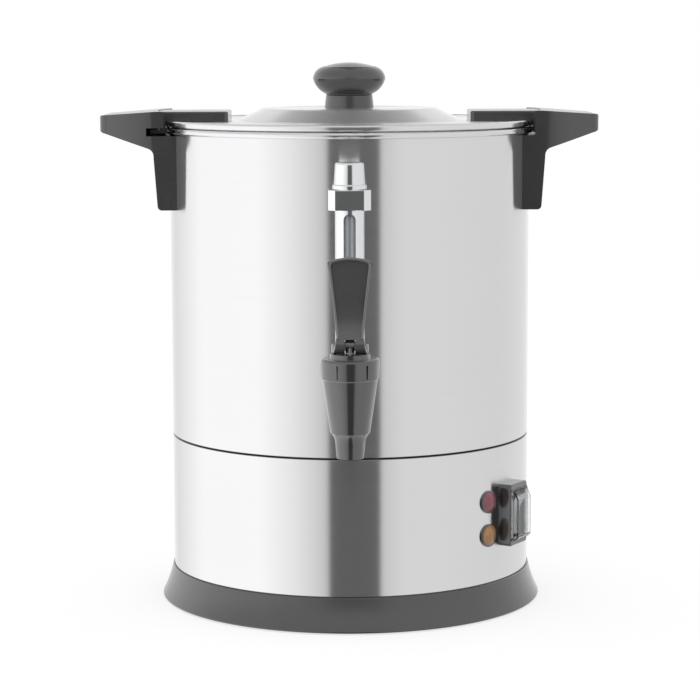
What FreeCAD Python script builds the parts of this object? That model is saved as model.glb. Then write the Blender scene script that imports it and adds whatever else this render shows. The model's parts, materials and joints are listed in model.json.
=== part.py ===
import FreeCAD, Part
import math
import os

# Coffee urn with a lock-on lid, a drip tap, a sight gauge and a percolator pump inside.
# Millimetres. The origin is on the urn's axis, on the surface it stands on.
# +Z is up, the tap points to -Y, the switch panel is to the right of it, towards +X.

V = FreeCAD.Vector
UP = V(0, 0, 1)

# Heights of the stack
RIM_GAP = 0.5
BASE_TOP = 20.9
HOUSING_H = 81.3
WALL_H = 184.6

# Steel shells
BODY_R = 110.0
STEEL = 0.8
SEAM_ROUND = 0.9
BEAD_R = 2.0
FLOOR_UP = 4.0
WELL_R = 24.0
WELL_DEPTH = 8.0

# Base
BASE_FLARE = 7.3
BASE_LIP = 0.9
BASE_WALL = 2.6
BASE_FLANGE_W = 20.0
BASE_FLANGE_T = 2.5
COVER_T = 1.5
COVER_CLEAR = 0.4
FOOT_R = 9.0
FOOT_H = 3.0
FOOT_INSET = 30.0
FEET = 4
SCREW_R = 2.0
SCREW_HEAD_R = 3.6
SCREW_HEAD_H = 1.6

# Lid
LID_GAP = 0.3
LID_OVERHANG = 3.0
LID_EDGE_H = 3.7
LID_STEP_R = 69.0
LID_TOP_R = 53.5
LID_RISE = 7.2
LID_SKIRT_H = 9.0
LID_SKIRT_CLEAR = 0.8

# Lid lock wings and the handles they turn into
WING_LENGTH = 42.6
WING_HALF = 24.0
WING_H = 5.8
TONGUE_CLEAR = 0.4
TONGUE_T = 2.4
TONGUE_DROP = 7.2
EAR_OUT = 6.7
EAR_T = 2.2
SLOT_CLEAR = 1.3
SLOT_END_CLEAR = 4.5
STOP_CLEAR = 0.4
HANDLE_HALF = 36.5
HANDLE_TIP_HALF = 29.0
HANDLE_REACH = 41.0
HANDLE_TIP_H = 10.0
HANDLE_TIP_DROP = 2.6
HANDLE_NECK = 7.6
HANDLE_ARMPIT_DROP = 23.4
HANDLE_LEG = 5.4
HANDLE_DROP = 59.2
BRACKET_T = 2.0
BRACKET_HALF = 18.0
BRACKET_H = 24.0
HANDLE_SCREW_Y = 11.0

# Knob
KNOB_R = 22.2
KNOB_H = 19.7
COLLAR_R = 14.3
COLLAR_H = 8.0

# Tap
TAP_REACH = 35.0
SHANK_UP = 43.8
SHANK_R = 8.2
SHANK_BORE = 5.2
SHANK_CLEAR = 0.1
SPOUT_DOWN = 33.4
SPOUT_R = 7.6
SPOUT_BORE = 5.2
TAP_FOOT_R = 11.0
TAP_TOP_R = 15.4
TAP_NECK_R = 13.4
TAP_BODY_UP = 10.8
BONNET_R = 16.4
BONNET_H = 11.8
BONNET_LID = 4.4
BONNET_CLEAR = 0.1
STEM_R = 2.5
STEM_CLEAR = 0.1
CUP_R = 7.2
CUP_H = 9.0
SEAT_DOWN = 15.0
RUN_GAP = 0.3

# Tap lever, which turns about a pin in the stem while its heel pushes on the bonnet
LEVER_H = 53.5
LEVER_TOP_HALF = 12.1
LEVER_WAIST_HALF = 7.6
LEVER_FOOT_HALF = 9.8
LEVER_RIM = 1.3
LEVER_PIN_UP = 4.8
LEVER_PIN_R = 1.5
LEVER_PULL_DEG = 55.0
LIFT_PER_RADIAN = 4.7
EYE_HALF = 2.6
EYE_R = 3.1

# Sight gauge
GAUGE_STANDOFF = 20.0
GAUGE_BLOCK_DROP = 38.7
GAUGE_BLOCK_H = 11.5
GAUGE_BLOCK_HALF = 12.0
SHIELD_R = 8.3
SHIELD_WALL = 0.9
SLOT_HALF = 3.4
GLASS_R = 5.0
GLASS_WALL = 1.2
TEE_R = 11.0
CAP_R = 9.7
CAP_TOP_R = 8.1
CAP_H = 14.9
CAP_NECK_R = 6.4
CAP_THREAD_CLEAR = 0.4

# Switch and lamps
SWITCH_AZIMUTH = 59.5
SWITCH_UP = 39.3
SWITCH_W = 22.0
SWITCH_H = 37.5
SWITCH_PROUD = 7.5
ROCKER_W = 13.6
ROCKER_H = 25.0
ROCKER_TILT = 8.0
SPLASH_OUT = 3.9
LAMP_AZIMUTH = 48.25
LAMP_R = 6.9
LAMP_UPPER_UP = 48.9
LAMP_LOWER_UP = 28.6

# Cable entry
GLAND_UP = 24.0
GLAND_BORE = 3.6
GLAND_R = 8.0
GLAND_OUT = 8.0

# Brewing parts inside
PUMP_R = 4.0
PUMP_BORE = 3.0
PUMP_TOP_DOWN = 3.0
BASKET_R = 52.0
BASKET_H = 52.0
BASKET_DROP = 17.8
BASKET_T = 0.7
SPREADER_H = 4.0

# Heater under the reservoir floor
PLATE_R = 50.0
PLATE_T = 3.0
BREW_R = 33.0
BREW_TUBE = 3.5
WARM_R = 45.0
WARM_TUBE = 3.0
CLAMP_T = 1.5
STUD_R = 2.0
THERMOSTAT_R = 8.0
WIRE_R = 1.3

# Heights and radii that follow from the ones above
BASE_R = BODY_R + BASE_FLARE
BASE_TOP_R = BODY_R + BASE_LIP
FOOT_PCR = BODY_R - FOOT_INSET
LID_EDGE_R = BODY_R + LID_OVERHANG
SEAM_Z = BASE_TOP + HOUSING_H
RIM_Z = SEAM_Z + WALL_H
BEAD_Z = RIM_Z + BEAD_R
BEAD_TOP = RIM_Z + 2 * BEAD_R
IN_R = BODY_R - STEEL
FLOOR_Z = SEAM_Z + FLOOR_UP
FLOOR_TOP = FLOOR_Z + STEEL
WELL_Z = FLOOR_Z - WELL_DEPTH
LID_EDGE_Z = BEAD_TOP + LID_GAP
LID_EDGE_TOP = LID_EDGE_Z + LID_EDGE_H
LID_FLAT_Z = LID_EDGE_TOP - 0.4
LID_TOP = LID_FLAT_Z + LID_RISE
TONGUE_R = LID_EDGE_R + TONGUE_CLEAR
TONGUE_OUT = TONGUE_R + TONGUE_T
WING_INNER = TONGUE_OUT - WING_LENGTH
EAR_R = TONGUE_OUT + EAR_OUT
SLOT_R = EAR_R + SLOT_END_CLEAR
WING_TOP = LID_FLAT_Z + WING_H
EAR_Z = LID_FLAT_Z - TONGUE_DROP
SLOT_Z = EAR_Z - SLOT_CLEAR
HANDLE_IN_R = TONGUE_OUT + SLOT_CLEAR
HANDLE_TOP = WING_TOP + 0.4
HANDLE_TIP_X = BODY_R + HANDLE_REACH
HANDLE_ARMPIT_X = BODY_R + HANDLE_NECK
HANDLE_LEG_X = BODY_R + HANDLE_LEG
COVER_Z = FOOT_H
FLANGE_Z = COVER_Z + COVER_T
SHANK_Z = SEAM_Z + SHANK_UP
GAUGE_Y = -BODY_R - GAUGE_STANDOFF
TAP_Y = GAUGE_Y - TAP_REACH
TAP_BODY_TOP = SHANK_Z + TAP_BODY_UP
SPOUT_Z = SHANK_Z - SPOUT_DOWN
SEAT_Z = SHANK_Z - SEAT_DOWN
BONNET_TOP = TAP_BODY_TOP + BONNET_H
BONNET_RING_TOP = BONNET_TOP + 2.6
PIN_Z = BONNET_RING_TOP + RUN_GAP + LEVER_PIN_UP
LEVER_Z = BONNET_RING_TOP + RUN_GAP
BLOCK_Z = RIM_Z - GAUGE_BLOCK_DROP
BLOCK_TOP = BLOCK_Z + GAUGE_BLOCK_H
CAP_Z = BLOCK_TOP + RUN_GAP
TEE_TOP = SHANK_Z + 26.0
TEE_LEDGE = SHANK_Z + 11.0
SEAL_H = 6.0
PANEL_TURN = SWITCH_AZIMUTH - 90.0
LAMP_TURN = LAMP_AZIMUTH - 90.0
SWITCH_Z = BASE_TOP + SWITCH_UP
SWITCH_OUT = BODY_R + SWITCH_PROUD
PIVOT_OUT = BODY_R + 2.5
GLAND_Z = BASE_TOP + GLAND_UP
PUMP_TOP = RIM_Z - PUMP_TOP_DOWN
BASKET_TOP = RIM_Z - BASKET_DROP
BASKET_Z = BASKET_TOP - BASKET_H
PLATE_Z = FLOOR_Z - PLATE_T
ELEMENT_Z = PLATE_Z - BREW_TUBE
CLAMP_Z = ELEMENT_Z - BREW_TUBE - CLAMP_T
STUD_PCR = (BREW_R + BREW_TUBE + WARM_R - WARM_TUBE) / 2


def outline(plane, corners):
    """A closed outline. A corner is (a, b), or ((a, b), (a, b)) for an arc through one point to the next."""
    place = {
        "xz": lambda p: V(p[0], 0, p[1]),
        "yz": lambda p: V(0, p[0], p[1]),
        "xy": lambda p: V(p[0], p[1], 0),
    }[plane]
    ends = [c[1] if isinstance(c[0], tuple) else c for c in corners]
    edges = []
    for i, corner in enumerate(corners):
        start = place(ends[i - 1])
        end = place(ends[i])
        if isinstance(corner[0], tuple):
            edges.append(Part.Arc(start, place(corner[0]), end).toShape())
        elif start.distanceToPoint(end) > 1e-6:
            edges.append(Part.makeLine(start, end))
    return Part.Wire(Part.__sortEdges__(edges))


def turned(corners):
    """A solid of revolution about Z from an outline of (radius, height) corners."""
    return Part.Face(outline("xz", corners)).revolve(V(), UP, 360)


def prism(plane, corners, low, high):
    """An outline pulled along the axis square to its plane, from low to high."""
    axis = {"xz": V(0, 1, 0), "yz": V(1, 0, 0), "xy": V(0, 0, 1)}[plane]
    face = Part.Face(outline(plane, corners))
    face.translate(axis * low)
    return face.extrude(axis * (high - low))


def block(x, y, z):
    """A box from three (low, high) pairs."""
    return Part.makeBox(x[1] - x[0], y[1] - y[0], z[1] - z[0], V(x[0], y[0], z[0]))


def rod(radius, base, end):
    """A cylinder from one point to another."""
    way = end - base
    return Part.makeCylinder(radius, way.Length, base, way)


def ring(outer, inner, low, high, x=0.0, y=0.0):
    """An upright tube, or a disc where inner is 0."""
    body = Part.makeCylinder(outer, high - low, V(x, y, low))
    if inner <= 0:
        return body
    return body.cut(Part.makeCylinder(inner, high - low, V(x, y, low)))


def softened(shape, radius, wanted):
    """The shape with each edge that passes the test rounded."""
    edges = [e for e in shape.Edges if wanted(e)]
    return shape.makeFillet(radius, edges) if edges else shape


def at_height(z, slack=0.01):
    """A test for edges that lie flat at one height."""
    return lambda e: abs(e.BoundBox.ZMin - z) < slack and abs(e.BoundBox.ZMax - z) < slack


def upright(e):
    """A test for straight upright edges."""
    box = e.BoundBox
    return box.XLength < 0.01 and box.YLength < 0.01


def dome(radius, low, top):
    """The arc of a ball-shaped cap, from (radius, low) up to the axis at the top."""
    rise = top - low
    ball = (radius * radius + rise * rise) / (2 * rise)
    half = math.asin(radius / ball) / 2
    return ((ball * math.sin(half), top - ball * (1 - math.cos(half))), (0, top))


def around(shape, count, start=0.0):
    """Copies of a shape, evenly spaced about the urn's axis."""
    copies = []
    for i in range(count):
        copy = shape.copy()
        copy.rotate(V(), UP, start + 360.0 * i / count)
        copies.append(copy)
    return copies


def swung(shape, degrees):
    """The shape turned about the urn's axis."""
    copy = shape.copy()
    copy.rotate(V(), UP, degrees)
    return copy


def joined(first, *others):
    """One solid from touching solids."""
    return first.fuse(list(others)).removeSplitter()


def save(name, shapes):
    """Writes one named piece, or a group of like pieces, as a STEP file."""
    shapes = shapes if isinstance(shapes, list) else [shapes]
    solids = [s for shape in shapes for s in shape.Solids]
    whole = solids[0] if len(solids) == 1 else Part.makeCompound(solids)
    whole.exportStep(f"parts/{name}.step")
    broken = [s for s in solids if not s.isValid()]
    print(f"{name}: {len(solids)} solid(s), {whole.Volume / 1000:.2f} cm3{' NOT VALID' if broken else ''}")


def base_ring():
    """The flared black skirt, with the shoulder that the housing stands on and a flange for the cover."""
    top_in = BODY_R - STEEL - BASE_WALL
    skirt_in = BASE_R - BASE_WALL
    return turned([
        (BASE_R - 0.9, RIM_GAP),
        ((BASE_R - 0.2, RIM_GAP + 0.3), (BASE_R, RIM_GAP + 1.0)),
        ((BASE_TOP_R + 2.2, BASE_TOP / 2 + 1.0), (BASE_TOP_R, BASE_TOP - 1.2)),
        ((BASE_TOP_R - 0.1, BASE_TOP - 0.9), (BASE_TOP_R - 0.4, BASE_TOP - 0.7)),
        (BODY_R - 0.3, BASE_TOP - 0.7),
        (BODY_R - 0.3, BASE_TOP),
        (IN_R - 0.1, BASE_TOP),
        (IN_R - 0.1, BASE_TOP + 7.0),
        (top_in, BASE_TOP + 7.0),
        (top_in, BASE_TOP - 3.0),
        (top_in, FLANGE_Z + BASE_FLANGE_T),
        (BODY_R - BASE_FLANGE_W, FLANGE_Z + BASE_FLANGE_T),
        (BODY_R - BASE_FLANGE_W, FLANGE_Z),
        (BODY_R - 1.0, FLANGE_Z),
        (skirt_in - 1.0, RIM_GAP + 3.0),
        (skirt_in, RIM_GAP),
    ])


def cover_radius():
    """The bottom cover ends just inside the skirt."""
    return BODY_R - 1.0 - COVER_CLEAR


def screw_places():
    """Where the cover screws go, between the feet."""
    radius = BODY_R - BASE_FLANGE_W / 2
    turns = [math.radians(360.0 * i / FEET) for i in range(FEET)]
    return [V(radius * math.cos(t), radius * math.sin(t), 0) for t in turns]


def foot_places():
    """Where the feet go, on the diagonals."""
    turns = [math.radians(360.0 * (i + 0.5) / FEET) for i in range(FEET)]
    return [V(FOOT_PCR * math.cos(t), FOOT_PCR * math.sin(t), 0) for t in turns]


def bottom_cover():
    """A steel disc under the base, with vent slots and holes for feet and screws."""
    disc = ring(cover_radius(), 0, COVER_Z, FLANGE_Z)
    cuts = [ring(SCREW_R, 0, COVER_Z, FLANGE_Z, p.x, p.y) for p in screw_places()]
    cuts += [ring(FOOT_R / 3, 0, COVER_Z, FLANGE_Z, p.x, p.y) for p in foot_places()]
    slot = block((24.0, 50.0), (-2.0, 2.0), (COVER_Z, FLANGE_Z))
    return disc.cut(cuts + around(slot, 8, 22.5))


def rubber_feet():
    """Round feet with a stub through the cover and a lip that holds them."""
    foot = turned([
        (0, 0),
        (FOOT_R - 1.0, 0),
        ((FOOT_R - 0.3, 0.3), (FOOT_R, 1.0)),
        (FOOT_R - 0.6, FOOT_H),
        (FOOT_R / 3, FOOT_H),
        (FOOT_R / 3, FLANGE_Z),
        (FOOT_R / 3 + 1.0, FLANGE_Z),
        (FOOT_R / 3 - 0.6, FLANGE_Z + 3.0),
        (0, FLANGE_Z + 3.0),
    ])
    feet = []
    for place in foot_places():
        copy = foot.copy()
        copy.translate(place)
        feet.append(copy)
    return feet


def screw(place, head_z, shank_top):
    """A pan-head screw that points up, its head's upper face at head_z."""
    head = turned([
        (0, head_z - SCREW_HEAD_H),
        (SCREW_HEAD_R - 1.2, head_z - SCREW_HEAD_H),
        ((SCREW_HEAD_R - 0.3, head_z - SCREW_HEAD_H * 0.7), (SCREW_HEAD_R, head_z)),
        (SCREW_R, head_z),
        (SCREW_R, shank_top),
        (0, shank_top),
    ])
    recess = block((-2.2, 2.2), (-0.4, 0.4), (head_z - SCREW_HEAD_H, head_z - SCREW_HEAD_H + 0.8))
    cross = swung(recess, 90)
    head = head.cut([recess, cross])
    head.translate(place)
    return head


def bottom_screws():
    return [screw(p, COVER_Z, FLANGE_Z + BASE_FLANGE_T) for p in screw_places()]


def panel_cutouts():
    """The holes in the housing for the switch, the lamps and the cable gland."""
    opening = block((IN_R - 4.0, BODY_R + 1.0), (-SWITCH_W / 2 + 1.4, SWITCH_W / 2 - 1.4),
                    (SWITCH_Z - SWITCH_H / 2 + 1.6, SWITCH_Z + SWITCH_H / 2 - 1.6))
    holes = [swung(opening, PANEL_TURN)]
    for up in (LAMP_UPPER_UP, LAMP_LOWER_UP):
        hole = rod(LAMP_R - 1.8, V(IN_R - 4.0, 0, BASE_TOP + up), V(BODY_R + 1.0, 0, BASE_TOP + up))
        holes.append(swung(hole, LAMP_TURN))
    holes.append(rod(GLAND_R - 1.6, V(0, IN_R - 4.0, GLAND_Z), V(0, BODY_R + 1.0, GLAND_Z)))
    return holes


def lower_housing():
    """The steel skirt round the electrics, its top edge turned in under the reservoir."""
    wall = turned([
        (IN_R, BASE_TOP),
        (BODY_R, BASE_TOP),
        (BODY_R, SEAM_Z - SEAM_ROUND),
        ((BODY_R - 0.3 * SEAM_ROUND, SEAM_Z - 0.3 * SEAM_ROUND), (BODY_R - SEAM_ROUND, SEAM_Z)),
        (BODY_R - 9.0, SEAM_Z),
        (BODY_R - 9.0, SEAM_Z - STEEL),
        (IN_R, SEAM_Z - STEEL),
    ])
    screws = [rod(SCREW_R, p, p + V(0, 0, BASE_TOP + 10)) for p in screw_places()]
    return wall.cut(panel_cutouts() + screws)


def reservoir():
    """The steel water vessel: wall, rolled rim, floor and the well that the pump stands in."""
    bead = (BODY_R - STEEL + BEAD_R, BEAD_Z)
    wall = turned([
        (IN_R, SEAM_Z),
        (BODY_R - SEAM_ROUND, SEAM_Z),
        ((BODY_R - 0.3 * SEAM_ROUND, SEAM_Z + 0.3 * SEAM_ROUND), (BODY_R, SEAM_Z + SEAM_ROUND)),
        (BODY_R, BEAD_Z - 1.6),
        ((bead[0] + BEAD_R, bead[1]), (bead[0], BEAD_TOP)),
        ((bead[0] - BEAD_R * 0.7071, bead[1] + BEAD_R * 0.7071), (IN_R, BEAD_Z)),
        (IN_R, FLOOR_TOP),
        (WELL_R + STEEL, FLOOR_TOP),
        (WELL_R, WELL_Z + STEEL),
        (0, WELL_Z + STEEL),
        (0, WELL_Z),
        (WELL_R + STEEL, WELL_Z),
        (WELL_R + 2 * STEEL, FLOOR_Z),
        (IN_R, FLOOR_Z),
    ])
    tap_hole = rod(SHANK_R, V(0, -IN_R + 5, SHANK_Z), V(0, -BODY_R - 2, SHANK_Z))
    stud_hole = rod(SCREW_R, V(0, -IN_R + 5, block_middle()), V(0, -BODY_R - 2, block_middle()))
    return wall.cut([tap_hole, stud_hole])


def lid():
    """The pressed steel lid: rolled edge, flat shelf, cone and raised middle, with a locating skirt."""
    flat_in = LID_FLAT_Z - STEEL
    skirt = IN_R - LID_SKIRT_CLEAR
    shell = turned([
        (0, LID_TOP),
        (LID_TOP_R - 1.0, LID_TOP),
        ((LID_TOP_R + 0.2, LID_TOP - 0.1), (LID_TOP_R + 1.3, LID_TOP - 0.6)),
        (LID_STEP_R - 1.0, LID_FLAT_Z + 0.5),
        ((LID_STEP_R + 0.1, LID_FLAT_Z + 0.1), (LID_STEP_R + 1.2, LID_FLAT_Z)),
        (LID_EDGE_R - 3.4, LID_FLAT_Z),
        (LID_EDGE_R - 2.6, LID_EDGE_TOP),
        (LID_EDGE_R - 1.4, LID_EDGE_TOP),
        ((LID_EDGE_R - 0.4, LID_EDGE_TOP - 0.4), (LID_EDGE_R, LID_EDGE_TOP - 1.4)),
        (LID_EDGE_R, LID_EDGE_Z + 1.2),
        ((LID_EDGE_R - 0.35, LID_EDGE_Z + 0.35), (LID_EDGE_R - 1.2, LID_EDGE_Z)),
        (LID_EDGE_R - 3.0, LID_EDGE_Z),
        (LID_EDGE_R - 3.0, flat_in),
        (skirt, flat_in),
        (skirt, LID_EDGE_Z - LID_SKIRT_H),
        (skirt - STEEL, LID_EDGE_Z - LID_SKIRT_H),
        (skirt - STEEL, flat_in),
        (LID_STEP_R + 1.0, flat_in),
        (LID_TOP_R + 1.0, LID_TOP - STEEL - 0.7),
        (LID_TOP_R - 1.2, LID_TOP - STEEL),
        (0, LID_TOP - STEEL),
    ])
    holes = [rod(SCREW_R + 0.5, V(0, 0, LID_TOP - 2), V(0, 0, LID_TOP + 1))]
    for x in rivet_places():
        holes.append(rod(SCREW_R, V(x, 0, LID_FLAT_Z - 2), V(x, 0, LID_FLAT_Z + 1)))
    return shell.cut(holes)


def rivet_places():
    """Distances of the wing rivets from the axis, on both sides."""
    inner = WING_INNER + 9.0
    outer = BODY_R - 10.0
    return [inner, outer, -inner, -outer]


def lid_lock(lid_shell):
    """A wing on the lid's edge, on the +X side: a block, a tongue outside the rim and an ear under the handle."""
    top = block((WING_INNER, TONGUE_OUT + 1), (-WING_HALF, WING_HALF), (LID_FLAT_Z, WING_TOP))
    top = softened(top, 2.5, upright)
    top = softened(top, 1.0, at_height(WING_TOP))
    top = top.common(ring(TONGUE_OUT, 0, LID_FLAT_Z - 1, WING_TOP + 1))
    strip = block((WING_INNER, EAR_R + 1), (-WING_HALF, WING_HALF), (EAR_Z, LID_FLAT_Z + 0.5))
    tongue = ring(TONGUE_OUT, TONGUE_R, EAR_Z, LID_FLAT_Z + 0.5).common(strip)
    ear = ring(EAR_R, TONGUE_R, EAR_Z, EAR_Z + EAR_T).common(strip)
    wing = joined(top, tongue, ear)
    holes = [rod(SCREW_R, V(x, 0, LID_FLAT_Z - 1), V(x, 0, LID_FLAT_Z + 3)) for x in rivet_places()[:2]]
    return wing.cut([lid_shell] + holes)


def lid_rivets():
    """Rivets from under the lid into the wings."""
    rivets = []
    for x in rivet_places():
        shank = rod(SCREW_R, V(x, 0, LID_FLAT_Z - STEEL), V(x, 0, LID_FLAT_Z + 3))
        head = rod(SCREW_HEAD_R, V(x, 0, LID_FLAT_Z - STEEL - 1.2), V(x, 0, LID_FLAT_Z - STEEL))
        rivets.append(joined(shank, head))
    return rivets


def knob_collar():
    """The spacer ring between the lid and the knob."""
    z = LID_TOP
    return turned([
        (SCREW_R + 0.5, z),
        (COLLAR_R + 0.8, z),
        (COLLAR_R, z + COLLAR_H - 0.6),
        ((COLLAR_R - 0.2, z + COLLAR_H - 0.2), (COLLAR_R - 0.6, z + COLLAR_H)),
        (SCREW_R + 0.5, z + COLLAR_H),
    ])


def knob():
    """The mushroom knob, with a blind hole for its screw."""
    z = LID_TOP + COLLAR_H
    top = z + KNOB_H
    wide = z + KNOB_H / 2
    return turned([
        (SCREW_R + 0.5, z),
        (COLLAR_R - 0.6, z),
        ((COLLAR_R - 0.1, z + 0.2), (COLLAR_R + 0.2, z + 0.7)),
        ((KNOB_R - 2.6, wide - 5.2), (KNOB_R, wide)),
        ((KNOB_R - 2.3, wide + 5.1), (KNOB_R - 7.7, top - 2.2)),
        dome(KNOB_R - 7.7, top - 2.2, top),
        (0, top - 7.0),
        (SCREW_R + 0.5, top - 7.0),
    ])


def knob_screw():
    """The screw that holds the knob from inside the lid."""
    under = LID_TOP - STEEL
    head = rod(SCREW_HEAD_R + 1.4, V(0, 0, under - 2.2), V(0, 0, under))
    shank = rod(SCREW_R + 0.5, V(0, 0, under), V(0, 0, LID_TOP + COLLAR_H + KNOB_H - 9.0))
    slot = block((-4.0, 4.0), (-0.5, 0.5), (under - 2.2, under - 1.2))
    return joined(head, shank).cut(slot)


def leg_middle():
    """The height of the middle of a handle's bracket."""
    return HANDLE_TOP - HANDLE_DROP + 22.0


def handle():
    """The handle on the +X side: a grip wing over a leg on the wall, with the slot for the lid's ear."""
    tip = HANDLE_TIP_X
    side_tip = tip + 0.8
    tip_top = HANDLE_TOP - HANDLE_TIP_DROP
    tip_low = tip_top - HANDLE_TIP_H
    bottom = HANDLE_TOP - HANDLE_DROP
    armpit = HANDLE_TOP - HANDLE_ARMPIT_DROP
    side = prism("xz", [
        (BODY_R - 14, HANDLE_TOP),
        (BODY_R + 6, HANDLE_TOP),
        (side_tip - 3.4, tip_top + 0.3),
        ((side_tip - 0.9, tip_top - 0.9), (side_tip, tip_top - 3.2)),
        (side_tip - 0.4, tip_low + 3.0),
        ((side_tip - 1.6, tip_low + 0.8), (side_tip - 4.4, tip_low - 0.6)),
        (HANDLE_ARMPIT_X + 3.0, armpit + 1.2),
        ((HANDLE_ARMPIT_X + 0.6, armpit - 0.8), (HANDLE_ARMPIT_X - 0.1, armpit - 4.0)),
        (HANDLE_LEG_X, bottom + 2.4),
        ((HANDLE_LEG_X - 0.8, bottom + 0.7), (HANDLE_LEG_X - 2.6, bottom)),
        (BODY_R - 14, bottom),
    ], -HANDLE_HALF, HANDLE_HALF)
    plan = prism("xy", [
        (BODY_R - 20, -HANDLE_HALF),
        (BODY_R - 8, -HANDLE_HALF),
        ((BODY_R + 20, -HANDLE_HALF + 2.0), (tip - 5, -HANDLE_TIP_HALF)),
        ((tip - 1.6, -HANDLE_TIP_HALF + 2.0), (tip - 0.6, -HANDLE_TIP_HALF + 5)),
        ((tip, 0), (tip - 0.6, HANDLE_TIP_HALF - 5)),
        ((tip - 1.6, HANDLE_TIP_HALF - 2.0), (tip - 5, HANDLE_TIP_HALF)),
        ((BODY_R + 20, HANDLE_HALF - 2.0), (BODY_R - 8, HANDLE_HALF)),
        (BODY_R - 20, HANDLE_HALF),
    ], bottom - 1, HANDLE_TOP + 1)
    shape = side.common(plan)
    shape = shape.cut(ring(BODY_R, 0, bottom - 1, HANDLE_TOP + 1))
    shape = shape.cut(ring(HANDLE_IN_R, 0, SLOT_Z, HANDLE_TOP + 1))
    slot = ring(SLOT_R, BODY_R - 2, SLOT_Z, SLOT_Z + EAR_T + 2 * SLOT_CLEAR)
    reach = block((BODY_R - 40, SLOT_R + 1), (-WING_HALF - STOP_CLEAR, HANDLE_HALF + 1), (SLOT_Z - 1, HANDLE_TOP))
    shape = shape.cut(slot.common(reach))
    middle = leg_middle()
    pocket = ring(BODY_R + BRACKET_T, BODY_R - 1, middle - BRACKET_H / 2, middle + BRACKET_H / 2)
    pocket = pocket.common(block((BODY_R - 20, BODY_R + 10), (-BRACKET_HALF, BRACKET_HALF), (0, HANDLE_TOP)))
    shape = shape.cut(pocket)
    return shape.cut(handle_screw_holes())


def handle_screw_holes():
    """Clearance holes and head recesses for a handle's two screws, from outside."""
    z = leg_middle()
    holes = []
    for y in (-HANDLE_SCREW_Y, HANDLE_SCREW_Y):
        holes.append(rod(SCREW_R, V(BODY_R - 2, y, z), V(HANDLE_TIP_X, y, z)))
        holes.append(rod(SCREW_HEAD_R + 0.3, V(BODY_R + 4.6, y, z), V(HANDLE_TIP_X, y, z)))
    return holes


def handle_bracket():
    """A curved steel plate welded to the wall inside the +X handle, tapped for its screws."""
    middle = leg_middle()
    plate = ring(BODY_R + BRACKET_T, BODY_R, middle - BRACKET_H / 2, middle + BRACKET_H / 2)
    plate = plate.common(block((BODY_R - 20, BODY_R + 10), (-BRACKET_HALF, BRACKET_HALF), (0, HANDLE_TOP)))
    holes = [rod(SCREW_R, V(BODY_R - 2, y, middle), V(BODY_R + 10, y, middle))
             for y in (-HANDLE_SCREW_Y, HANDLE_SCREW_Y)]
    return plate.cut(holes)


def handle_screws():
    """Two screws for the +X handle."""
    screws = []
    for y in (-HANDLE_SCREW_Y, HANDLE_SCREW_Y):
        one = screw(V(), 0, 4.4)
        one.rotate(V(), V(0, 1, 0), -90)
        one.translate(V(BODY_R + 4.6, y, leg_middle()))
        screws.append(one)
    return screws


def block_middle():
    """The height of the gauge block's stud."""
    return BLOCK_Z + GAUGE_BLOCK_H / 2


def tap_taper(z):
    """The tap body's outer radius at a height."""
    low = SPOUT_Z + 14.4
    share = (z - low) / (TAP_BODY_TOP - low)
    return TAP_FOOT_R + share * (TAP_TOP_R - TAP_FOOT_R)


def tap_body():
    """The tap's moulded body: spout, valve chamber, neck for the bonnet, and the shank through the wall."""
    low = SPOUT_Z + 14.4
    wall = 2.2
    outside = turned([
        (0, SPOUT_Z),
        (SPOUT_R - 0.4, SPOUT_Z),
        ((SPOUT_R - 0.1, SPOUT_Z + 0.1), (SPOUT_R, SPOUT_Z + 0.4)),
        (SPOUT_R + 0.75, SPOUT_Z + 9.4),
        ((SPOUT_R + 1.5, low - 2.6), (TAP_FOOT_R, low)),
        (TAP_TOP_R, TAP_BODY_TOP),
        (TAP_NECK_R, TAP_BODY_TOP),
        (TAP_NECK_R, BONNET_TOP - BONNET_LID),
        (0, BONNET_TOP - BONNET_LID),
    ])
    chamber = turned([
        (0, SPOUT_Z),
        (SPOUT_BORE, SPOUT_Z),
        (SPOUT_BORE, SEAT_Z),
        (SPOUT_BORE + 0.8, SEAT_Z),
        (SPOUT_BORE + 1.2, SEAT_Z - 0.8),
        (tap_taper(SEAT_Z) - wall, SEAT_Z - 0.8),
        (tap_taper(TAP_BODY_TOP) - wall - 1.6, TAP_BODY_TOP),
        (TAP_NECK_R - wall, BONNET_TOP - BONNET_LID),
        (0, BONNET_TOP - BONNET_LID),
    ])
    outside.translate(V(0, TAP_Y, 0))
    chamber.translate(V(0, TAP_Y, 0))
    shoulder_y = tee_front()
    shoulder = rod(TEE_R, V(0, TAP_Y + 8, SHANK_Z), V(0, shoulder_y, SHANK_Z))
    shoulder = shoulder.cut(ring(BONNET_R + RUN_GAP, 0, TAP_BODY_TOP, BONNET_TOP, 0, TAP_Y))
    shank = rod(SHANK_R, V(0, shoulder_y, SHANK_Z), V(0, -IN_R + 13.5, SHANK_Z))
    bore = rod(SHANK_BORE, V(0, TAP_Y + 2, SHANK_Z), V(0, -IN_R + 13.5, SHANK_Z))
    port = rod(3.0, V(0, GAUGE_Y, SHANK_Z), V(0, GAUGE_Y, SHANK_Z + SHANK_R + 1))
    body = joined(outside, shoulder, shank)
    return body.cut([chamber, bore, port])


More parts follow.
